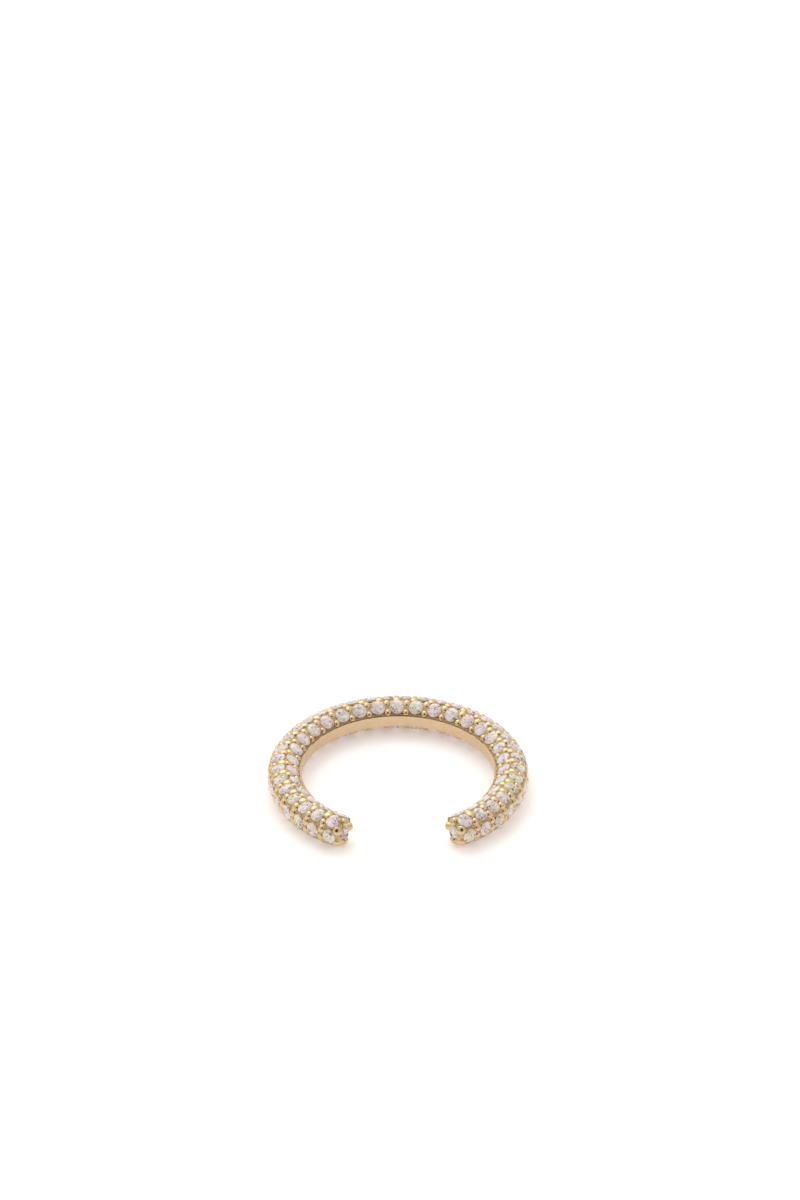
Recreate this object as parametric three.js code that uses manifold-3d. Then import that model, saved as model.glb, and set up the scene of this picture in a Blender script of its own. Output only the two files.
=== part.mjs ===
// Open pave ring, lying on its side. Millimetres, +Z up, the gap of the ring faces -Y.
// A gold bar of round section is bent into an open C. Small brilliants, held by small gold beads, cover it
// all round except for a plain polished strip along the inside, and one more stone closes each end.
import * as THREE from "three";
import { mergeVertices } from "three/addons/utils/BufferGeometryUtils.js";
import Module from "manifold-3d";

// The bar and the finger hole
const FINGER_DIAMETER = 16.5; // across the faces of the inner strip
const BAR_RADIUS = 1.49; // from the middle of the bar to the tips of the beads and the face of the strip
const METAL_RADIUS = 1.24; // from the middle of the bar to the gold between the stones
const RING_RADIUS = FINGER_DIAMETER / 2 + BAR_RADIUS; // from the middle of the ring to the middle of the bar
const BAR_END = THREE.MathUtils.degToRad(151.4); // from the back of the ring round to the rim of each end
const CLEARANCE = 0.03; // between the shank and the pave, and between the two halves of the pave

// The shank: a core inside the pave, with the polished strip on its inner side
const CORE_RADIUS = 0.86;
const STRIP_WIDTH = 0.98;
const STRIP_BEVEL = 0.05;
const SHANK_END = THREE.MathUtils.degToRad(150);
const SHANK_STEPS = 33; // an odd number, so that one flat of the strip is centred at the back
const CORE_SIDES = 10;

// The stones: round brilliants with a table and a crown of sixteen facets
const STONE_DIAMETER = 1.24;
const STONE_SIDES = 8;
const TABLE_SHARE = 0.56; // of the stone's diameter
const CROWN_HEIGHT = 0.17;
const GIRDLE_HEIGHT = 1.24; // from the middle of the bar
const LAST_STONE = THREE.MathUtils.degToRad(147.2); // from the back of the ring, in every row
const END_GIRDLE = 0.03; // how far the girdle of the end stone stands in front of the rim

// The beads: two between each two stones of a row
const BEAD_RADIUS = 0.235;
const BEAD_SIDES = 10;
const BEAD_FOOT = 1.4; // from the middle of the bar to the foot of its dome
const BEAD_OFFSET = THREE.MathUtils.degToRad(19); // round the bar, to each side of the middle of the row

// The larger beads round each end stone
const END_BEAD_RADIUS = 0.31;
const END_BEAD_DEPTH = 0.4; // of its foot in the gold
const END_BEAD_HEIGHT = 0.2;

// Rows of stones round the bar: 0 degrees faces the finger, 90 is the upper side, 180 faces outwards
const INNER_ROW = THREE.MathUtils.degToRad(53.5);
const SIDE_ROW = THREE.MathUtils.degToRad(114.7);
const TURN = 2 * Math.PI;
const rows = [
  { around: INNER_ROW, stones: 29 },
  { around: SIDE_ROW, stones: 34 },
  { around: Math.PI, stones: 34 },
  { around: TURN - SIDE_ROW, stones: 34 },
  { around: TURN - INNER_ROW, stones: 29 },
];

// The end beads: `place` is from the middle of the bar and `front` is in front of the rim, to the middle of
// the dome's edge, and the bead leans outwards by `lean`.
const [upright, halfOver, farOver] = [35, 42, 58].map(THREE.MathUtils.degToRad);
const endBeads = [
  { around: 0, place: 1, front: 0.12, lean: halfOver },
  { around: (INNER_ROW + SIDE_ROW) / 2, place: 0.97, front: 0.09, lean: upright },
  { around: (SIDE_ROW + Math.PI) / 2, place: 1.1, front: -0.08, lean: farOver },
  { around: TURN - (SIDE_ROW + Math.PI) / 2, place: 1.1, front: -0.08, lean: farOver },
  { around: TURN - (INNER_ROW + SIDE_ROW) / 2, place: 0.97, front: 0.09, lean: upright },
];

// The two halves of the pave meet at the back along a line that steps round the stones and beads
const JOINT_PAST_BEAD = 0.322; // from the middle of a gap between stones, where the line passes its beads
const JOINT_AT_ROW = 0.025; // the same, between the two beads of the gap
const JOINT_STEP = THREE.MathUtils.degToRad(85.3); // round the bar, where it steps from inner to side rows
const EDGE_STEPS = 34; // along the inner side of each half
const RIM_STEPS = 30;

const WELD = 1e-4; // points closer than this are one
const FLAT = 1e-9; // smaller than this, a turn or a circle's overlap counts as none

const gold = { color: 0xe3bd84, roughness: 0.22, metalness: 1 };
const paveFinish = { color: 0xe6dcd6, roughness: 0.12, metalness: 0.35 };

const wasm = await Module();
wasm.setup();

// A point of the bar: `along` turns round the ring from its back, `around` turns round the bar.
function barPoint(along, around, radius) {
  const reach = RING_RADIUS - radius * Math.cos(around);
  return new THREE.Vector3(
    reach * Math.sin(along),
    reach * Math.cos(along),
    radius * Math.sin(around),
  );
}

// The directions along the bar, round the bar and out of its surface.
function barFrame(along, around) {
  const out = barPoint(along, around, 1).sub(barPoint(along, around, 0));
  const forward = new THREE.Vector3(Math.cos(along), -Math.sin(along), 0);
  return { forward, round: out.clone().cross(forward), out };
}

// Joins loops of points into triangles, and keeps each point with its place on the flat pattern.
class Skin {
  constructor() {
    this.corners = [];
    this.triangles = [];
  }

  add(point, flat) {
    this.corners.push({ point, flat });
    return this.corners.length - 1;
  }

  face(a, b, c) {
    this.triangles.push([a, b, c]);
  }

  // Fills a flat polygon that has holes, and then turns edges until its triangles are well shaped.
  fill(outline, holes) {
    const flat = (loop) => loop.map((i) => this.corners[i].flat);
    const order = [outline, ...holes].flat();
    const faces = THREE.ShapeUtils.triangulateShape(
      flat(outline),
      holes.map(flat),
    ).map((f) => f.map((i) => order[i]));
    const fixed = new Set();
    for (const loop of [outline, ...holes])
      loop.forEach((a, i) => fixed.add(edgeName(a, loop[(i + 1) % loop.length])));
    turnEdges(faces, (i) => this.corners[i].flat, fixed);
    this.triangles.push(...faces);
  }

  geometry(mirror) {
    const made = new THREE.BufferGeometry();
    const values = this.triangles.flatMap((f) =>
      (mirror < 0 ? [f[0], f[2], f[1]] : f).flatMap((i) => {
        const { x, y, z } = this.corners[i].point;
        return [mirror * x, y, z];
      }),
    );
    made.setAttribute("position", new THREE.Float32BufferAttribute(values, 3));
    return mergeVertices(made, WELD);
  }
}

function edgeName(a, b) {
  return a < b ? a + "_" + b : b + "_" + a;
}

function turnOf(a, b, c) {
  return (b.x - a.x) * (c.y - a.y) - (b.y - a.y) * (c.x - a.x);
}

// True if d lies inside the circle through a, b and c, which run anticlockwise.
function insideCircle(a, b, c, d) {
  const [ax, ay, bx, by, cx, cy] = [a, b, c].flatMap((p) => [p.x - d.x, p.y - d.y]);
  const lift = (x, y) => x * x + y * y;
  return (
    lift(ax, ay) * (bx * cy - cx * by) -
      lift(bx, by) * (ax * cy - cx * ay) +
      lift(cx, cy) * (ax * by - bx * ay) >
    FLAT
  );
}

// Flips edges that aren't fixed until no triangle's circle holds its neighbour's corner.
function turnEdges(faces, flat, fixed) {
  const owners = new Map();
  const note = (face, f) => {
    face.forEach((a, i) => {
      const name = edgeName(a, face[(i + 1) % 3]);
      if (!owners.has(name)) owners.set(name, new Set());
      owners.get(name).add(f);
    });
  };
  faces.forEach(note);
  const forget = (face, f) =>
    face.forEach((a, i) => owners.get(edgeName(a, face[(i + 1) % 3])).delete(f));
  const waiting = [...owners.keys()];
  while (waiting.length) {
    const name = waiting.pop();
    const pair = [...(owners.get(name) ?? [])];
    if (fixed.has(name) || pair.length !== 2) continue;
    const [f, g] = pair;
    const [a, b] = name.split("_").map(Number);
    const c = faces[f].find((i) => i !== a && i !== b);
    const d = faces[g].find((i) => i !== a && i !== b);
    const [pa, pb, pc, pd] = [a, b, c, d].map(flat);
    const anticlockwise = turnOf(pa, pb, pc) > 0 ? [pa, pb, pc] : [pb, pa, pc];
    const crosses = turnOf(pc, pd, pa) * turnOf(pc, pd, pb) < -FLAT;
    if (!crosses || !insideCircle(...anticlockwise, pd)) continue;
    forget(faces[f], f);
    forget(faces[g], g);
    const ahead = turnOf(pc, pd, pb) > 0;
    faces[f] = ahead ? [c, d, b] : [d, c, b];
    faces[g] = ahead ? [d, c, a] : [c, d, a];
    note(faces[f], f);
    note(faces[g], g);
    for (const side of [[a, c], [c, b], [b, d], [d, a]]) waiting.push(edgeName(...side));
  }
}

// Points of a regular polygon, as pairs of numbers.
function polygon(sides, radius, turn) {
  return Array.from({ length: sides }, (_, i) => {
    const angle = turn + (TURN * i) / sides;
    return [radius * Math.cos(angle), radius * Math.sin(angle)];
  });
}

// A stone: its girdle is the hole's edge in the gold, and its crown rises to a flat table.
// `place(x, y, height)` gives a point of the stone's own frame, and `flat(x, y)` its place on the pattern.
function addStone(skin, place, flat) {
  const half = Math.PI / STONE_SIDES;
  const ring = (radius, height, turn) =>
    polygon(STONE_SIDES, radius, turn).map(([x, y]) => skin.add(place(x, y, height), flat(x, y)));
  const girdle = ring(STONE_DIAMETER / 2, 0, half);
  const table = ring((STONE_DIAMETER / 2) * TABLE_SHARE, CROWN_HEIGHT, 2 * half);
  for (let i = 0; i < STONE_SIDES; i++) {
    const next = (i + 1) % STONE_SIDES;
    skin.face(girdle[i], girdle[next], table[i]);
    skin.face(table[i], girdle[next], table[next]);
    if (i > 1) skin.face(table[0], table[i - 1], table[i]);
  }
  return girdle;
}

// A bead: a low dome of ten facets that stands in the gold.
function addBead(skin, place, flat) {
  const base = polygon(BEAD_SIDES, BEAD_RADIUS, 0).map(([x, y]) =>
    skin.add(place(x, y, 0), flat(x, y)),
  );
  const top = skin.add(place(0, 0, BAR_RADIUS - BEAD_FOOT));
  base.forEach((corner, i) => skin.face(corner, base[(i + 1) % BEAD_SIDES], top));
  return base;
}

// The places of a row's stones, or of the gaps between them, as angles from the back of the ring.
function placesIn(row) {
  const pitch = (2 * LAST_STONE) / (row.stones - 1);
  const stones = Array.from({ length: row.stones }, (_, i) => i * pitch - LAST_STONE);
  const gaps = stones.slice(1).map((place) => place - pitch / 2);
  const firstGap = row.stones % 2 ? -pitch / 2 : 0; // of the right half
  const onSide = (side) => (along) => along > firstGap - pitch / 4 === side > 0;
  return { stones, gaps, firstGap, onSide };
}

// The line at the back where one half of the pave meets the other, as corners [along, around]. It passes
// each row beside the beads of its first gap, and steps between the rows whose first gaps differ.
function jointLine(side) {
  const line = [];
  const corner = (gap, distance, around) =>
    line.push([side * (gap - distance / RING_RADIUS) + CLEARANCE / 2 / RING_RADIUS, around]);
  const gaps = rows.map((row) => placesIn(row).firstGap);
  corner(gaps[0], JOINT_PAST_BEAD, 0);
  rows.forEach((row, i) => {
    corner(gaps[i], JOINT_PAST_BEAD, row.around - BEAD_OFFSET);
    corner(gaps[i], JOINT_AT_ROW, row.around);
    corner(gaps[i], JOINT_PAST_BEAD, row.around + BEAD_OFFSET);
    const next = gaps[i + 1] ?? gaps[i];
    if (next === gaps[i]) return;
    const apart = (side * CLEARANCE) / 2 / METAL_RADIUS;
    const around = next > gaps[i] ? JOINT_STEP - apart : TURN - JOINT_STEP + apart;
    corner(gaps[i], JOINT_PAST_BEAD, around);
    corner(next, JOINT_PAST_BEAD, around);
  });
  corner(gaps[0], JOINT_PAST_BEAD, TURN);
  return line;
}

// The solid outer form of one half of the pave, as if the bar were solid. `side` is 1 for the right half
// and -1 for the left, which is worked out as a right half and then mirrored.
function paveForm(side) {
  const skin = new Skin();
  const onBar = (along, around) =>
    skin.add(
      barPoint(along, around, METAL_RADIUS),
      new THREE.Vector2(along * RING_RADIUS, around * METAL_RADIUS),
    );
  const joint = jointLine(side).map(([along, around]) => onBar(along, around));
  const start = skin.corners[joint[0]].flat.x / RING_RADIUS;
  const steps = (from, to, count) =>
    Array.from({ length: count - 1 }, (_, i) => from + ((to - from) * (i + 1)) / count);
  const edge = (around) => steps(start, BAR_END, EDGE_STEPS).map((along) => onBar(along, around));
  const rim = [0, ...steps(0, TURN, RIM_STEPS), TURN].map((around) => onBar(BAR_END, around));
  const outline = [joint[0], ...edge(0), ...rim, ...edge(TURN).reverse(), ...joint.slice(1).reverse()];

  const holes = [];
  for (const row of rows) {
    const { stones, gaps, onSide } = placesIn(row);
    const setInto = (along, around, depth, add) => {
      const frame = barFrame(side * along, around);
      const middle = barPoint(side * along, around, depth);
      const place = (x, y, height) =>
        middle
          .clone()
          .addScaledVector(frame.forward, x)
          .addScaledVector(frame.round, y)
          .addScaledVector(frame.out, height);
      const reach = RING_RADIUS - METAL_RADIUS * Math.cos(around);
      const flat = (x, y) =>
        new THREE.Vector2(
          (side * along + x / reach) * RING_RADIUS,
          (around + Math.atan2(y, depth)) * METAL_RADIUS,
        );
      holes.push(add(place, flat).toReversed());
    };
    for (const along of stones.filter(onSide(side)))
      setInto(along, row.around, GIRDLE_HEIGHT, (place, flat) => addStone(skin, place, flat));
    for (const along of gaps.filter(onSide(side)))
      for (const offset of [-BEAD_OFFSET, BEAD_OFFSET])
        setInto(along, row.around + offset, BEAD_FOOT, (place, flat) => addBead(skin, place, flat));
  }
  skin.fill(outline, holes);

  closeEnd(skin, rim.slice(0, -1));
  const middle = skin.add(barPoint(CLEARANCE / 2 / RING_RADIUS, 0, 0));
  joint.slice(1).forEach((corner, i) => skin.face(middle, joint[i], corner));
  return skin.geometry(side);
}

// The end that faces the gap: a flat of gold with one stone.
function closeEnd(skin, rim) {
  const { forward } = barFrame(BAR_END, 0);
  const middle = barPoint(BAR_END, 0, 0);
  // x points away from the finger and y up, as seen from the gap
  const sideways = barFrame(BAR_END, Math.PI).out;
  const up = new THREE.Vector3(0, 0, 1);
  const outline = rim.map((corner) => {
    const point = skin.corners[corner].point;
    const from = point.clone().sub(middle);
    return skin.add(point, new THREE.Vector2(from.dot(sideways), from.dot(up)));
  });
  const stone = addStone(
    skin,
    (x, y, height) =>
      middle
        .clone()
        .addScaledVector(sideways, x)
        .addScaledVector(up, y)
        .addScaledVector(forward, height + END_GIRDLE),
    (x, y) => new THREE.Vector2(x, y),
  );
  skin.fill(outline, [stone.toReversed()]);
}

// A bead at an end of the bar, as a closed solid whose foot is sunk in the gold.
function endBeadForm({ around, place, front, lean }, side) {
  const { forward, out } = barFrame(BAR_END, around);
  const middle = barPoint(BAR_END, around, place).addScaledVector(forward, front);
  const axis = out.clone().multiplyScalar(Math.sin(lean)).addScaledVector(forward, Math.cos(lean));
  const across = out.clone().multiplyScalar(Math.cos(lean)).addScaledVector(forward, -Math.sin(lean));
  const round = axis.clone().cross(across);
  const skin = new Skin();
  const ring = (height) =>
    polygon(BEAD_SIDES, END_BEAD_RADIUS, 0).map(([x, y]) =>
      skin.add(
        middle.clone().addScaledVector(across, x).addScaledVector(round, y).addScaledVector(axis, height),
      ),
    );
  const foot = ring(-END_BEAD_DEPTH);
  const edge = ring(0);
  const top = skin.add(middle.clone().addScaledVector(axis, END_BEAD_HEIGHT));
  for (let i = 0; i < BEAD_SIDES; i++) {
    const next = (i + 1) % BEAD_SIDES;
    skin.face(foot[i], foot[next], edge[next]);
    skin.face(foot[i], edge[next], edge[i]);
    skin.face(edge[i], edge[next], top);
    if (i > 1) skin.face(foot[0], foot[i], foot[i - 1]);
  }
  return skin.geometry(side);
}

// The section of the shank, grown by a gap: a round core and the strip on its inner side.
function shankSection(gap) {
  const half = STRIP_WIDTH / 2 + gap;
  const face = BAR_RADIUS + gap;
  const radius = CORE_RADIUS + gap;
  const open = Math.asin(half / radius);
  const section = [
    [face - STRIP_BEVEL, -half],
    [face, STRIP_BEVEL - half],
    [face, half - STRIP_BEVEL],
    [face - STRIP_BEVEL, half],
  ];
  for (let i = 0; i <= CORE_SIDES; i++) {
    const angle = open + ((TURN - 2 * open) * i) / CORE_SIDES;
    section.push([radius * Math.cos(angle), radius * Math.sin(angle)]);
  }
  return section;
}

// The shank, or the room that it takes in the pave, as a closed bar along the ring.
function shankForm(gap) {
  const section = shankSection(gap);
  const skin = new Skin();
  const rings = [];
  for (let i = 0; i <= SHANK_STEPS; i++) {
    const atEnd = i === 0 ? -1 : i === SHANK_STEPS ? 1 : 0;
    const along = ((2 * i) / SHANK_STEPS - 1) * SHANK_END + (atEnd * gap) / RING_RADIUS;
    rings.push(
      section.map(([inward, up]) =>
        skin.add(
          barPoint(along, Math.atan2(up, inward), Math.hypot(inward, up)),
          new THREE.Vector2(inward, up),
        ),
      ),
    );
  }
  for (let i = 0; i < SHANK_STEPS; i++)
    section.forEach((_, k) => {
      const next = (k + 1) % section.length;
      skin.face(rings[i][k], rings[i + 1][k], rings[i + 1][next]);
      skin.face(rings[i][k], rings[i + 1][next], rings[i][next]);
    });
  const faces = THREE.ShapeUtils.triangulateShape(section.map((p) => new THREE.Vector2(...p)), []);
  for (const [a, b, c] of faces) {
    skin.face(rings[0][a], rings[0][b], rings[0][c]);
    skin.face(rings[SHANK_STEPS][a], rings[SHANK_STEPS][c], rings[SHANK_STEPS][b]);
  }
  return skin.geometry(1);
}

function toSolid(geometry) {
  return new wasm.Manifold(
    new wasm.Mesh({
      numProp: 3,
      vertProperties: geometry.attributes.position.array,
      triVerts: new Uint32Array(geometry.index.array),
    }),
  );
}

function toGeometry(solid) {
  const { vertProperties, triVerts } = solid.getMesh();
  return new THREE.BufferGeometry()
    .setAttribute("position", new THREE.BufferAttribute(vertProperties, 3))
    .setIndex(new THREE.BufferAttribute(triVerts, 1));
}

function namedMesh(name, geometry, finish) {
  const mesh = new THREE.Mesh(geometry, new THREE.MeshStandardMaterial(finish));
  mesh.name = name;
  return mesh;
}

const shankRoom = toSolid(shankForm(CLEARANCE));

function paveHalf(side) {
  const beads = endBeads.map((bead) => toSolid(endBeadForm(bead, side)));
  const outside = beads.reduce((joined, bead) => joined.add(bead), toSolid(paveForm(side)));
  return toGeometry(outside.subtract(shankRoom));
}

const ring = new THREE.Group();
ring.add(namedMesh("shank", shankForm(0), gold));
ring.add(namedMesh("pave_left", paveHalf(-1), paveFinish));
ring.add(namedMesh("pave_right", paveHalf(1), paveFinish));

// The ring rests on the lowest beads of its lower side rows, with the origin under the middle of its box.
const box = new THREE.Box3().setFromObject(ring);
ring.position.set(-(box.min.x + box.max.x) / 2, -(box.min.y + box.max.y) / 2, -box.min.z);

export default ring;
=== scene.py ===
"""The looks of an open pave ring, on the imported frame: brilliants, beads, seats and polished gold."""
import math
import random
from collections import namedtuple

import bpy
from mathutils import Matrix, Vector


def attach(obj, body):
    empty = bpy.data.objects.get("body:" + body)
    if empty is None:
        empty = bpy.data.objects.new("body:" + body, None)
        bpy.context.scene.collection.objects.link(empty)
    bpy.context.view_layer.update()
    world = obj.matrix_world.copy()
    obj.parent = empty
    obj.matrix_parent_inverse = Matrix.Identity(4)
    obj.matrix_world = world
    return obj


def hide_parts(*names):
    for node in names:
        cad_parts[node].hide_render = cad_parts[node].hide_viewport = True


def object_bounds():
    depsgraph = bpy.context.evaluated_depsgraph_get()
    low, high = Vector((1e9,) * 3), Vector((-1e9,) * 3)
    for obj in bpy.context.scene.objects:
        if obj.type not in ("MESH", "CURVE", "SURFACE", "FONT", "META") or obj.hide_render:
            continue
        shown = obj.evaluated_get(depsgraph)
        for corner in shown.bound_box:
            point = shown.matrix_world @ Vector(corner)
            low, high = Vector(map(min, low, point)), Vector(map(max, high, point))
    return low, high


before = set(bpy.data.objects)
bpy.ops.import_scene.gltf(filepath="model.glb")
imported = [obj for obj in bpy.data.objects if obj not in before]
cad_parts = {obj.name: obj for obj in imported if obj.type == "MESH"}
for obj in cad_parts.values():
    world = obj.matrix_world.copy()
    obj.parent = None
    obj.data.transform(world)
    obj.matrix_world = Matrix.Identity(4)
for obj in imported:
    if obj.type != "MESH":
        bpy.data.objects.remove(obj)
cad_low, cad_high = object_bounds()

MM = 0.001
TURN = 2 * math.pi
rng = random.Random(11)

# ---- the numbers of the ring: lengths in millimetres, angles in radians ----

# The bar
FINGER_RADIUS = 8.25
BAR_RADIUS = 1.49
RING_RADIUS = FINGER_RADIUS + BAR_RADIUS
METAL_RADIUS = 1.2
RIDGE_RADIUS = 1.25  # between two rows of stones
COLLAR_RADIUS, COLLAR_EDGE = 1.42, math.radians(25)  # beside the inner strip
GROOVE_SHADE_EDGE = math.radians(30)  # how far round the bar the painted shade beside the strip reaches
BAR_END = math.radians(151.4)
SHOULDER = 0.3  # the round edge of each end of the bar
SECTION_STEPS, SHOULDER_STEPS, RING_STEPS = 96, 8, 240

# The inner strip
STRIP_HALF = 0.49
STRIP_DEPTH = 0.5
STRIP_BEVEL, BEVEL_STEPS = 0.025, 3
STRIP_END = BAR_END - 0.02

# The stones, whose heights are from the middle of the girdle
STONE_RADIUS = 0.635
TABLE_SHARE = 0.56  # of the stone's radius
STAR_SHARE = 0.78  # the same, where the star facets end
HEEL_SHARE = 0.3  # the same, on the pavilion
INNER_SHARE = 0.45  # of the table: the ring of corners of the painted reflection that shows through it
CROWN_HEIGHT = 0.165
STAR_HEIGHT = CROWN_HEIGHT * 0.55
GIRDLE_HALF = 0.012
PAVILION_DEPTH = 0.5
HEEL_DEPTH = PAVILION_DEPTH * 0.7
GIRDLE_RADIUS = 1.24  # from the middle of the bar to a stone's girdle
LAST_STONE = math.radians(147.2)
END_STONE_FRONT = 0.04  # from the end of the bar to the girdle of the stone that faces the gap

# The seat of a stone, bottom first: how far outside the girdle, and how high
SEAT = [
    (0.09, -0.34),
    (0.055, -0.1),
    (0.03, -0.045),
    (0.005, -0.025),
    (-0.015, -0.03),
    (-0.1, -0.16),
]
SEAT_SIDES = 28

# How much lighter the facets of a stone are painted, as painted light that makes up for the shade its
# row is in, and how much warmer its hue is
StoneLook = namedtuple("StoneLook", "lift warmth")
INNER_LOOK = StoneLook(0.16, -0.06)  # beside the inner strip, painted lighter to make up for the shade this row is in
OUTER_LOOK = StoneLook(0, 0.14)
PAINTED_LIGHT_SIDE = 0.14  # painted light: how much a stone is lighter on one side and darker on the other, as if lit from there
HUE_RANGE = (0, 0.85)  # from stone to stone
FACET_HUE_RANGE = (-0.35, 0.35)  # from facet to facet

# The painted reflections of facets: each kind's share, added to those before it, and its range from
# dark to light
FACET_REFLECTION_TONES = [
    (0.15, (0, 0.25)),
    (0.5, (0.35, 0.6)),
    (0.85, (0.6, 0.8)),
    (1, (0.9, 1.1)),
]

# The dome of a bead. A flatness below 1 makes it a cushion.
Dome = namedtuple("Dome", "flatness height depth")
ROUND_DOME = Dome(1, 0.3, 0.36)
CUSHION_DOME = Dome(0.88, 0.23, 0.36)
END_DOME = Dome(0.95, 0.24, 0.45)
DOME_STEPS, DOME_SIDES = 8, 20
FOOT_SHARE = 1.06  # of the dome's radius

# The beads of the pave, each with its offset round the bar from its row and the rise of its tip
Bead = namedtuple("Bead", "radius offset rise dome")
BEAD_TIP = 1.45
BEAD_OFFSET = math.radians(19)
SMALL = Bead(0.36, math.radians(24.5), 0.05, ROUND_DOME)  # beside the inner strip
NARROW = Bead(0.38, BEAD_OFFSET, 0, ROUND_DOME)
MIDDLE = Bead(0.4, BEAD_OFFSET, 0, ROUND_DOME)
LARGE = Bead(0.41, BEAD_OFFSET, 0, CUSHION_DOME)

# How uneven they are, as hand work is
BEAD_SIZE_RANGE = (0.94, 1.05)
BEAD_SPIN_RANGE = (-0.4, 0.4)
BEAD_LENGTH_RANGE = (0.86, 1)
BEAD_WIDTH_RANGE = (0.96, 1.1)
BEAD_DROP_RANGE = (0, 0.03)
BEAD_SHIFT_RANGE = (-0.003, 0.003)  # along the ring

# The rows of stones, each with its beads on the side before it and the side after it round the bar
Row = namedtuple("Row", "around stones before after look")
ROWS = [
    Row(math.radians(53.5), 29, SMALL, MIDDLE, INNER_LOOK),
    Row(math.radians(114.7), 34, LARGE, NARROW, OUTER_LOOK),
    Row(math.radians(180), 34, MIDDLE, MIDDLE, OUTER_LOOK),
    Row(math.radians(245.3), 34, NARROW, LARGE, OUTER_LOOK),
    Row(math.radians(306.5), 29, MIDDLE, SMALL, INNER_LOOK),
]

# The five large beads round each end stone. The middle of a dome's edge is `place` from the middle
# of the bar and `front` in front of its end, and the dome leans outwards. `around` and `lean` are
# in degrees.
EndBead = namedtuple("EndBead", "around place front lean radius")
END_BEADS = [
    EndBead(0, 0.98, 0.07, 42, 0.37),
    EndBead(84, 0.965, 0.045, 38, 0.37),
    EndBead(147.4, 1.115, -0.1, 56, 0.41),
    EndBead(212.6, 1.115, -0.1, 56, 0.41),
    EndBead(276, 0.965, 0.045, 38, 0.37),
]

# The tints of gold: the bar's and the strip's, the last one that a bead may have, and the painted shade
# of a groove
PLAIN, LIGHTEST, GROOVE_SHADE = 0, 0.67, 1.0

# Each finish of gold: its hues from tint 0 to tint 1, the last one a painted shade for gold down in a
# groove, the range of its roughness, and its dents
Gold = namedtuple("Gold", "name hues glossy matt dents")
BEAD_HUES = [(0.745, 0.5, 0.325), (0.715, 0.52, 0.29), (0.685, 0.545, 0.275), (0.5, 0.355, 0.18)]
BEAD_GOLD = Gold("bead_gold", BEAD_HUES, 0.13, 0.2, 0.12)
# The bar's gold is painted darker than the beads' and the strip's, as shade down between the stones
SHADED_RECESS_GOLD = Gold("shaded_recess_gold", [(0.55, 0.39, 0.2), (0.36, 0.225, 0.1)], 0.25, 0.35, 0.15)
STRIP_GOLD = Gold("polished_gold", [(0.685, 0.505, 0.33), (0.4, 0.27, 0.13)], 0.2, 0.27, 0.05)

# The middle of the ring, from the frame's box
outer_reach = RING_RADIUS + BAR_RADIUS * math.cos(BEAD_OFFSET)
CENTRE = Vector((0, cad_high.y / MM - outer_reach, (cad_high.z + cad_low.z) / 2 / MM))


# ---- places on the bar ----


def bar_point(along, around, radius):
    """A point of the bar: along turns round the ring from its back, around turns round the bar."""
    reach = RING_RADIUS - radius * math.cos(around)
    return CENTRE + Vector((
        reach * math.sin(along),
        reach * math.cos(along),
        radius * math.sin(around),
    ))


def bar_matrix(along, around, radius):
    """The frame of a point of the bar: x along it, y round it and z out of its surface."""
    out = Vector((
        -math.cos(around) * math.sin(along),
        -math.cos(around) * math.cos(along),
        math.sin(around),
    ))
    forward = Vector((math.cos(along), -math.sin(along), 0))
    axes = Matrix((forward, out.cross(forward), out)).transposed()
    return Matrix.Translation(bar_point(along, around, radius)) @ axes.to_4x4()


def stone_places(count):
    """Where the stones of a row are along the ring, evenly from one end to the other."""
    pitch = 2 * LAST_STONE / (count - 1)
    return [i * pitch - LAST_STONE for i in range(count)]


def gap_places(count):
    stones = stone_places(count)
    return [(a + b) / 2 for a, b in zip(stones, stones[1:])]


# ---- meshes ----


class Form:
    """Vertices in millimetres and faces, with two numbers for each face: its painted reflection tone
    and its tint, whose top value is painted groove shade.
    """

    def __init__(self):
        self.points = []
        self.faces = []
        self.tones = []
        self.tints = []

    def add(self, points, faces, tones=None, tints=None):
        start = len(self.points)
        self.points.extend(points)
        self.faces.extend(tuple(start + i for i in face) for face in faces)
        self.tones.extend(tones or [0] * len(faces))
        self.tints.extend(tints or [PLAIN] * len(faces))

    def place(self, shape, matrix, tones=None, tints=None):
        points, faces = shape
        self.add([matrix @ Vector(p) for p in points], faces, tones, tints)

    def place_gold(self, shape, matrix, tint=None):
        """A bead or a seat of one tint: a chance one, or the painted shade of a groove."""
        if tint is None:
            tint = rng.uniform(0, LIGHTEST)
        self.place(shape, matrix, tints=[tint] * len(shape[1]))

    def paint_groove_shade(self, side, sides):
        """Paint one side of a swept bar with the shade of a groove. Its two end faces come last."""
        for i in range(side, len(self.faces) - 2, sides):
            self.tints[i] = GROOVE_SHADE

    def piece(self, name, smooth):
        mesh = bpy.data.meshes.new(name)
        mesh.from_pydata([Vector(p) * MM for p in self.points], [], self.faces)
        mesh.polygons.foreach_set("use_smooth", [smooth] * len(self.faces))
        for kind, values in (("tone", self.tones), ("tint", self.tints)):
            mesh.attributes.new(kind, "FLOAT", "FACE").data.foreach_set("value", values)
        mesh.update()
        made = bpy.data.objects.new(name, mesh)
        bpy.context.scene.collection.objects.link(made)
        return made


def circle(radius, height, sides, turn=0.0):
    angles = [turn + TURN * i / sides for i in range(sides)]
    return [(radius * math.cos(angle), radius * math.sin(angle), height) for angle in angles]


def turned(profile, sides):
    """A shape turned from (radius, height) pairs, bottom first. A radius of 0 closes it."""
    points, rings = [], []
    for radius, height in profile:
        count = sides if radius > 0 else 1
        rings.append(list(range(len(points), len(points) + count)))
        points += circle(radius, height, count)
    faces = []
    for low, high in zip(rings, rings[1:]):
        for i in range(sides):
            j = (i + 1) % sides
            quad = [low[i % len(low)], low[j % len(low)], high[j % len(high)], high[i % len(high)]]
            faces.append(tuple(dict.fromkeys(quad)))
    return points, faces


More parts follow.
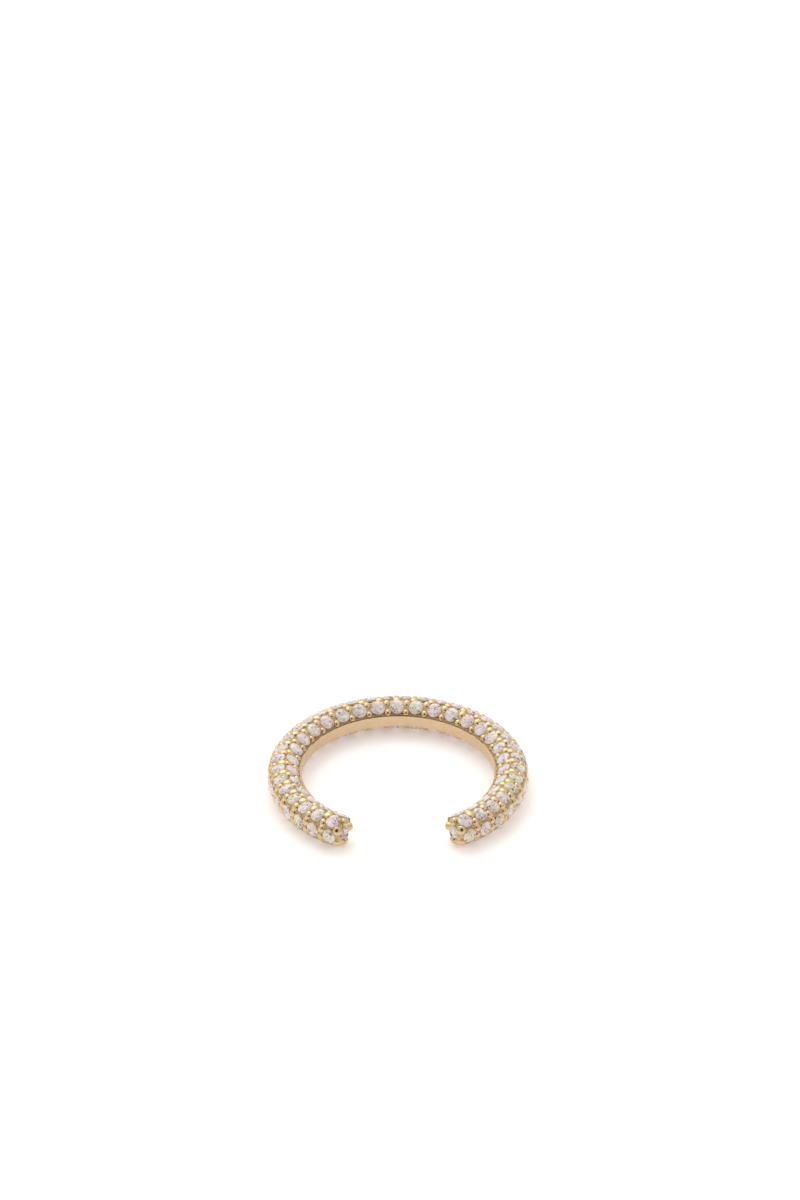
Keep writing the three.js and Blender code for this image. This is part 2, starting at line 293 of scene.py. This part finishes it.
def brilliant():
    """A round brilliant, top first. Its flat table is cut into facets that carry the painted
    reflections of the pavilion seen through it.
    """
    table, eighth = TABLE_SHARE * STONE_RADIUS, TURN / 8
    points, starts = [(0, 0, CROWN_HEIGHT)], []
    for radius, height, sides, turn in (
        (table * INNER_SHARE, CROWN_HEIGHT, 8, 0),
        (table, CROWN_HEIGHT, 8, eighth / 2),
        (STAR_SHARE * STONE_RADIUS, STAR_HEIGHT, 8, eighth),
        (STONE_RADIUS, GIRDLE_HALF, 16, eighth / 2),
        (STONE_RADIUS, -GIRDLE_HALF, 16, eighth / 2),
        (HEEL_SHARE * STONE_RADIUS, -HEEL_DEPTH, 8, eighth),
    ):
        starts.append(len(points))
        points += circle(radius, height, sides, turn)
    inner, edge, kite, top, low, heel = starts
    culet = len(points)
    points.append((0, 0, -PAVILION_DEPTH))

    faces = []
    eighths = [(i, (i + 1) % 8, [(2 * i + k) % 16 for k in range(3)]) for i in range(8)]
    for i, n, rim in eighths:
        faces.append((0, inner + i, inner + n))
        faces.append((inner + i, edge + i, inner + n))
        faces.append((inner + n, edge + i, edge + n))
    for i, n, rim in eighths:
        faces.append((edge + i, kite + i, edge + n))
        faces.append((kite + i, top + rim[0], top + rim[1]))
        faces.append((kite + i, top + rim[1], top + rim[2]))
        faces.append((edge + n, kite + i, top + rim[2]))
        faces.append((edge + n, top + rim[2], kite + n))
    for i in range(16):
        n = (i + 1) % 16
        faces.append((low + i, low + n, top + n, top + i))
    for i, n, rim in eighths:
        faces.append((heel + i, low + rim[1], low + rim[0]))
        faces.append((heel + i, low + rim[2], low + rim[1]))
        faces.append((heel + i, heel + n, low + rim[2]))
        faces.append((culet, heel + n, heel + i))
    return points, faces


def facet_directions(shape):
    """Which way round the stone each facet lies."""
    points, faces = shape
    middles = [sum((Vector(points[i]) for i in face), Vector()) for face in faces]
    return [math.atan2(middle.y, middle.x) for middle in middles]


def bead(radius, dome):
    """A domed grain of gold with a straight foot, whose top is at the origin."""
    profile = [(radius * FOOT_SHARE, -dome.height - dome.depth)]
    for i in range(DOME_STEPS):
        angle = math.pi / 2 * i / DOME_STEPS
        profile.append((
            radius * math.cos(angle) ** dome.flatness,
            dome.height * (math.sin(angle) ** dome.flatness - 1),
        ))
    profile.append((0, 0))
    return turned(profile, DOME_SIDES)


def seat():
    """The bright-cut edge of gold round a stone, in the stone's own frame."""
    return turned([(STONE_RADIUS + outside, height) for outside, height in SEAT], SEAT_SIDES)


def swept(section, stations):
    """A closed bar along the ring: the (inward, up) section, scaled at each (along, scale)."""
    form = Form()
    points, faces = [], []
    for along, scale in stations:
        for inward, up in section:
            points.append(bar_point(along, math.atan2(up, inward), scale * math.hypot(inward, up)))
    n, last = len(section), (len(stations) - 1) * len(section)
    for k in range(len(stations) - 1):
        for i in range(n):
            j = (i + 1) % n
            faces.append((k * n + i, (k + 1) * n + i, (k + 1) * n + j, k * n + j))
    faces.append(tuple(range(n)))
    faces.append(tuple(reversed(range(last, last + n))))
    form.add(points, faces)
    return form


def metal_reach(around):
    """The radius of the gold: flat under a row, a ridge between rows, a collar at the strip."""
    aside = min(abs(around - row.around) for row in ROWS)
    flat = METAL_RADIUS / math.cos(min(aside, math.pi / 4))
    from_strip = min(around, TURN - around)
    return COLLAR_RADIUS if from_strip < COLLAR_EDGE else min(flat, RIDGE_RADIUS)


def round_bar():
    """The bar under the stones, with a round shoulder at each end."""
    section = []
    for i in range(SECTION_STEPS):
        around = TURN * i / SECTION_STEPS
        reach = metal_reach(around)
        section.append((reach * math.cos(around), reach * math.sin(around)))
    stations = []
    for i in range(SHOULDER_STEPS + 1):
        angle = math.pi / 2 * i / SHOULDER_STEPS
        forward = SHOULDER * math.sin(angle) / RING_RADIUS
        inset = SHOULDER * (1 - math.cos(angle))
        stations.append((BAR_END - SHOULDER / RING_RADIUS + forward, 1 - inset / METAL_RADIUS))
    straight = stations[0][0]
    middle = [((2 * i / RING_STEPS - 1) * straight, 1) for i in range(1, RING_STEPS)]
    start = [(-along, scale) for along, scale in reversed(stations)]
    form = swept(section, start + middle + stations)
    # The faces of the bar beside the strip are painted with the shade of a groove
    for i in range(SECTION_STEPS):
        around = TURN * (i + 0.5) / SECTION_STEPS
        if min(around, TURN - around) < GROOVE_SHADE_EDGE:
            form.paint_groove_shade(i, SECTION_STEPS)
    return form


def strip():
    """The plain polished band along the inside, with a fine bevel on each edge and painted shade on its
    sides.
    """
    section = [(BAR_RADIUS - STRIP_DEPTH, -STRIP_HALF)]
    for i in range(BEVEL_STEPS + 1):
        angle = math.pi / 2 * i / BEVEL_STEPS
        section.append((
            BAR_RADIUS - STRIP_BEVEL * (1 - math.sin(angle)),
            -STRIP_HALF + STRIP_BEVEL * (1 - math.cos(angle)),
        ))
    section += [(inward, -up) for inward, up in reversed(section)]
    stations = [((2 * i / RING_STEPS - 1) * STRIP_END, 1) for i in range(RING_STEPS + 1)]
    form = swept(section, stations)
    # Its two sides are painted with the shade of a groove
    form.paint_groove_shade(0, len(section))
    form.paint_groove_shade(len(section) - 2, len(section))
    return form


# ---- materials ----


def new_material(name):
    material = bpy.data.materials.new(name)
    material.use_nodes = True
    tree = material.node_tree
    return material, tree, tree.nodes["Principled BSDF"]


def node(tree, kind, **settings):
    """A new node. Each setting is one of its own, or the value of an input."""
    made = tree.nodes.new(kind)
    for name, value in settings.items():
        if hasattr(made, name):
            setattr(made, name, value)
        else:
            made.inputs[name.replace("_", " ")].default_value = value
    return made


def ramp(tree, value, stops):
    """The colour that the (position, colour) stops give to a value."""
    made = tree.nodes.new("ShaderNodeValToRGB")
    elements = made.color_ramp.elements
    while len(elements) < len(stops):
        elements.new(1)
    for element, (position, colour) in zip(elements, stops):
        element.position = position
        element.color = (*colour, 1)
    tree.links.new(value, made.inputs["Fac"])
    return made.outputs["Color"]


def multiply(tree, first, second):
    """The product of two colours. A mix node has its colours at inputs 6 and 7 and output 2."""
    made = tree.nodes.new("ShaderNodeMix")
    made.data_type = "RGBA"
    made.blend_type = "MULTIPLY"
    made.inputs["Factor"].default_value = 1
    tree.links.new(first, made.inputs[6])
    tree.links.new(second, made.inputs[7])
    return made.outputs[2]


def grey(level):
    return (level, level, level)


def gold_material(gold):
    """Yellow gold whose hue and gloss wander a little, with fine marks of wear."""
    material, tree, shader = new_material(gold.name)
    link = tree.links.new
    place = node(tree, "ShaderNodeTexCoord").outputs["Object"]
    tint = node(tree, "ShaderNodeAttribute", attribute_name="tint").outputs["Fac"]
    last = len(gold.hues) - 1
    hue = ramp(tree, tint, [(i / last, colour) for i, colour in enumerate(gold.hues)])
    cloud = node(tree, "ShaderNodeTexNoise", Scale=900, Detail=3)
    link(place, cloud.inputs["Vector"])
    shade = ramp(tree, cloud.outputs["Fac"], [(0.3, grey(0.9)), (0.7, grey(1))])
    link(multiply(tree, hue, shade), shader.inputs["Base Color"])
    gloss = ramp(tree, cloud.outputs["Fac"], [(0.3, grey(gold.glossy)), (0.7, grey(gold.matt))])
    link(gloss, shader.inputs["Roughness"])
    marks = node(tree, "ShaderNodeTexNoise", Scale=7000, Detail=2)
    link(place, marks.inputs["Vector"])
    bump = node(tree, "ShaderNodeBump", Strength=gold.dents, Distance=0.00002)
    link(marks.outputs["Fac"], bump.inputs["Height"])
    link(bump.outputs["Normal"], shader.inputs["Normal"])
    shader.inputs["Metallic"].default_value = 1
    return material


def stone_material():
    """A brilliant's facets: each has its own painted reflection, a tone with fine flecks, and its own
    faint tint.
    """
    material, tree, shader = new_material("brilliant")
    link = tree.links.new
    place = node(tree, "ShaderNodeTexCoord").outputs["Object"]
    tone = node(tree, "ShaderNodeAttribute", attribute_name="tone").outputs["Fac"]
    tint = node(tree, "ShaderNodeAttribute", attribute_name="tint").outputs["Fac"]
    flecks = node(tree, "ShaderNodeTexVoronoi", Scale=5000)
    link(place, flecks.inputs["Vector"])
    fleck = node(tree, "ShaderNodeSeparateColor")
    link(flecks.outputs["Color"], fleck.inputs["Color"])
    wander = node(tree, "ShaderNodeMapRange", To_Min=-0.08, To_Max=0.08)
    link(fleck.outputs["Red"], wander.inputs["Value"])
    total = node(tree, "ShaderNodeMath", operation="ADD")
    link(tone, total.inputs[0])
    link(wander.outputs["Result"], total.inputs[1])
    # The painted reflections run from dark facets to ones that flash white
    body = ramp(tree, total.outputs["Value"], [
        (0, (0.21, 0.155, 0.14)),
        (0.25, (0.48, 0.4, 0.36)),
        (0.55, (0.72, 0.625, 0.57)),
        (0.8, (0.8, 0.715, 0.655)),
        (1, (0.89, 0.84, 0.81)),
    ])
    hue = ramp(tree, tint, [
        (0, (1, 0.86, 0.92)),
        (0.3, (0.97, 0.91, 1)),
        (0.5, (1, 0.96, 0.97)),
        (0.75, (0.9, 1, 0.98)),
        (0.88, (1, 0.97, 0.9)),
        (1, (1, 0.88, 0.68)),
    ])
    link(multiply(tree, body, hue), shader.inputs["Base Color"])
    shader.inputs["Roughness"].default_value = 0.09
    shader.inputs["IOR"].default_value = 2.42
    shader.inputs["Specular IOR Level"].default_value = 0.17
    return material


# ---- the ring ----


def facet_reflection_tone():
    """The painted reflection of one facet: most are light, some are dark, and some flash white as a
    painted glint.
    """
    kind = rng.random()
    for share, tones in FACET_REFLECTION_TONES:
        if kind < share:
            return rng.uniform(*tones)


def set_stone(stones, setting, place, look=OUTER_LOOK):
    """A brilliant with its seat. Its facets carry painted reflections and are painted lighter toward a
    chance side, as if lit from there.
    """
    spin = Matrix.Rotation(rng.uniform(0, TURN), 4, "Z")
    hue = look.warmth + rng.uniform(*HUE_RANGE)
    # Each facet's tone is a painted reflection, with a painted lift for a row in shade and painted
    # light from a chance side
    light = rng.uniform(0, TURN)
    tones = [
        look.lift + facet_reflection_tone() + PAINTED_LIGHT_SIDE * math.cos(direction - light)
        for direction in stone_directions
    ]
    tints = [hue + rng.uniform(*FACET_HUE_RANGE) for _ in stone_directions]
    stones.place(stone_shape, place @ spin, tones, tints)
    # The seat is painted with the shade of a groove, as a dark edge round the stone
    setting.place_gold(seat_shape, place, GROOVE_SHADE)


def set_bead(setting, along, around, kind):
    """A bead of the pave, a little uneven as hand work is."""
    size = kind.radius * rng.uniform(*BEAD_SIZE_RANGE)
    spin = Matrix.Rotation(rng.uniform(*BEAD_SPIN_RANGE), 4, "Z")
    oval = Matrix.Diagonal((rng.uniform(*BEAD_LENGTH_RANGE), rng.uniform(*BEAD_WIDTH_RANGE), 1, 1))
    tip = BEAD_TIP - rng.uniform(*BEAD_DROP_RANGE) + kind.rise
    place = bar_matrix(along + rng.uniform(*BEAD_SHIFT_RANGE), around, tip)
    setting.place_gold(bead(size, kind.dome), place @ spin @ oval)


def set_row(stones, setting, side, row):
    """The half of a row on one side. The halves meet in the gap at the back or just left of it."""
    pitch = 2 * LAST_STONE / (row.stones - 1)
    joint = -pitch / 2 if row.stones % 2 else 0
    past_joint = joint - pitch / 4  # the beads of that gap belong to the right half
    for along in stone_places(row.stones):
        if (along > joint) == (side > 0):
            set_stone(stones, setting, bar_matrix(along, row.around, GIRDLE_RADIUS), row.look)
    for along in gap_places(row.stones):
        if (along > past_joint) == (side > 0):
            set_bead(setting, along, row.around - row.before.offset, row.before)
            set_bead(setting, along, row.around + row.after.offset, row.after)


def finish_end(stones, setting, side):
    """The stone that faces the gap, and the five large beads that hold it."""
    end = bar_matrix(side * BAR_END, math.pi, 0)
    facing = Matrix((
        (end @ Vector((0, 0, 1, 0))).xyz,
        (0, 0, 1),
        (end @ Vector((side, 0, 0, 0))).xyz,
    )).transposed()
    axes = Matrix.Translation(end.translation) @ facing.to_4x4()
    set_stone(stones, setting, axes @ Matrix.Translation((0, 0, END_STONE_FRONT)))
    for around, place, front, lean, radius in END_BEADS:
        setting.place_gold(
            bead(radius, END_DOME),
            axes
            @ Matrix.Rotation(math.pi - math.radians(around), 4, "Z")
            @ Matrix.Translation((place, 0, front))
            @ Matrix.Rotation(math.radians(lean), 4, "Y")
            @ Matrix.Translation((0, 0, END_DOME.height)),
        )


def dress(piece, material, slot, *nodes):
    """Give a piece its material and the ring's one body to ride, and hide the CAD nodes it stands for.
    """
    piece.data.materials.append(material)
    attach(piece, "root")
    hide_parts(*nodes)


bead_gold = gold_material(BEAD_GOLD)
brilliants = stone_material()

dress(round_bar().piece("gold_bar", True), gold_material(SHADED_RECESS_GOLD), "gold", "shank")
dress(strip().piece("inner_strip", False), gold_material(STRIP_GOLD), "gold", "shank")

stone_shape, seat_shape = brilliant(), seat()
stone_directions = facet_directions(stone_shape)
for side, node_name in ((-1, "pave_left"), (1, "pave_right")):
    stones, setting = Form(), Form()
    for row in ROWS:
        set_row(stones, setting, side, row)
    finish_end(stones, setting, side)
    dress(stones.piece("stones_" + node_name, False), brilliants, "stone", node_name)
    dress(setting.piece("beads_" + node_name, True), bead_gold, "gold", node_name)

# ---- floor, light and camera, in metres ----

FLOOR_HALF = 1.5
floor_mesh = bpy.data.meshes.new("floor")
floor_mesh.from_pydata(
    [(x * FLOOR_HALF, y * FLOOR_HALF, 0) for x, y in ((-1, -1), (1, -1), (1, 1), (-1, 1))],
    [],
    [(0, 1, 2, 3)],
)
floor = bpy.data.objects.new("floor", floor_mesh)
bpy.context.scene.collection.objects.link(floor)
white, paper_tree, shader = new_material("white_paper")
place = node(paper_tree, "ShaderNodeTexCoord").outputs["Object"]
grain = node(paper_tree, "ShaderNodeTexNoise", Scale=2500, Detail=3)
paper_tree.links.new(place, grain.inputs["Vector"])
paper = ramp(paper_tree, grain.outputs["Fac"], [
    (0.3, (0.91, 0.89, 0.88)),
    (0.7, (0.93, 0.92, 0.91)),
])
paper_tree.links.new(paper, shader.inputs["Base Color"])
shader.inputs["Roughness"].default_value = 0.7
shader.inputs["Emission Color"].default_value = (1, 0.92, 0.86, 1)
shader.inputs["Emission Strength"].default_value = 0.27
floor_mesh.materials.append(white)

# The direction of the camera from the ring
ELEVATION = math.radians(34)
AZIMUTH = math.radians(-0.64)
to_camera = Vector((
    math.cos(ELEVATION) * math.sin(AZIMUTH),
    -math.cos(ELEVATION) * math.cos(AZIMUTH),
    math.sin(ELEVATION),
))

# A white tent all round, lightest high up behind the ring, with a dark opening for the camera
TENT_STRENGTH = 1.22
TENT_LIGHTEST = Vector((-0.15, 0.5, 0.85)).normalized()
TENT_SHADES = [(0, 0.65), (0.5, 0.75), (0.95, 0.84)]
OPENING_EDGE, OPENING_CORE, OPENING_SHADE = math.radians(27), math.radians(19), 0.06
world = bpy.data.worlds.new("studio")
bpy.context.scene.world = world
world.use_nodes = True
tent = world.node_tree
direction = node(tent, "ShaderNodeTexCoord").outputs["Generated"]


def nearness(aim):
    """How near a direction of the tent is to the aim: the cosine of the angle between them."""
    product = node(tent, "ShaderNodeVectorMath", operation="DOT_PRODUCT")
    product.inputs[1].default_value = aim
    tent.links.new(direction, product.inputs[0])
    return product.outputs["Value"]


opening = ramp(tent, nearness(to_camera), [
    (math.cos(OPENING_EDGE), grey(1)),
    (math.cos(OPENING_CORE), grey(OPENING_SHADE)),
])
wall = ramp(tent, nearness(TENT_LIGHTEST), [(near, grey(shade)) for near, shade in TENT_SHADES])
background = tent.nodes["Background"]
tent.links.new(multiply(tent, wall, opening), background.inputs["Color"])
background.inputs["Strength"].default_value = TENT_STRENGTH

KEY_PLACE = Vector((-0.15, 0.3, 0.45))
KEY_SIZE = 0.52
KEY_POWER = 0.9
key_light = bpy.data.lights.new("key", "AREA")
key_light.shape = "RECTANGLE"
key_light.size = key_light.size_y = KEY_SIZE
key_light.energy = KEY_POWER
key = bpy.data.objects.new("key", key_light)
key.location = KEY_PLACE
key.rotation_euler = (-KEY_PLACE).to_track_quat("-Z", "Y").to_euler()
bpy.context.scene.collection.objects.link(key)

# The camera looks down at the ring with a long lens. Its shift leaves the ring low in the picture.
DISTANCE = 0.6
FRAME_WIDTH = 0.06823  # what the picture spans at the ring
SENSOR_WIDTH = 36
SHIFT = (0.0025, 0.2184)
camera_data = bpy.data.cameras.new("camera")
camera_data.sensor_fit = "HORIZONTAL"
camera_data.sensor_width = SENSOR_WIDTH
camera_data.lens = SENSOR_WIDTH * DISTANCE / FRAME_WIDTH
camera_data.shift_x, camera_data.shift_y = SHIFT
camera_data.clip_end = 10
camera = bpy.data.objects.new("camera", camera_data)
camera.location = CENTRE * MM + to_camera * DISTANCE
camera.rotation_euler = (math.pi / 2 - ELEVATION, 0, AZIMUTH)
bpy.context.scene.collection.objects.link(camera)
bpy.context.scene.camera = camera
bpy.context.scene.view_settings.view_transform = "Standard"

bpy.context.view_layer.update()
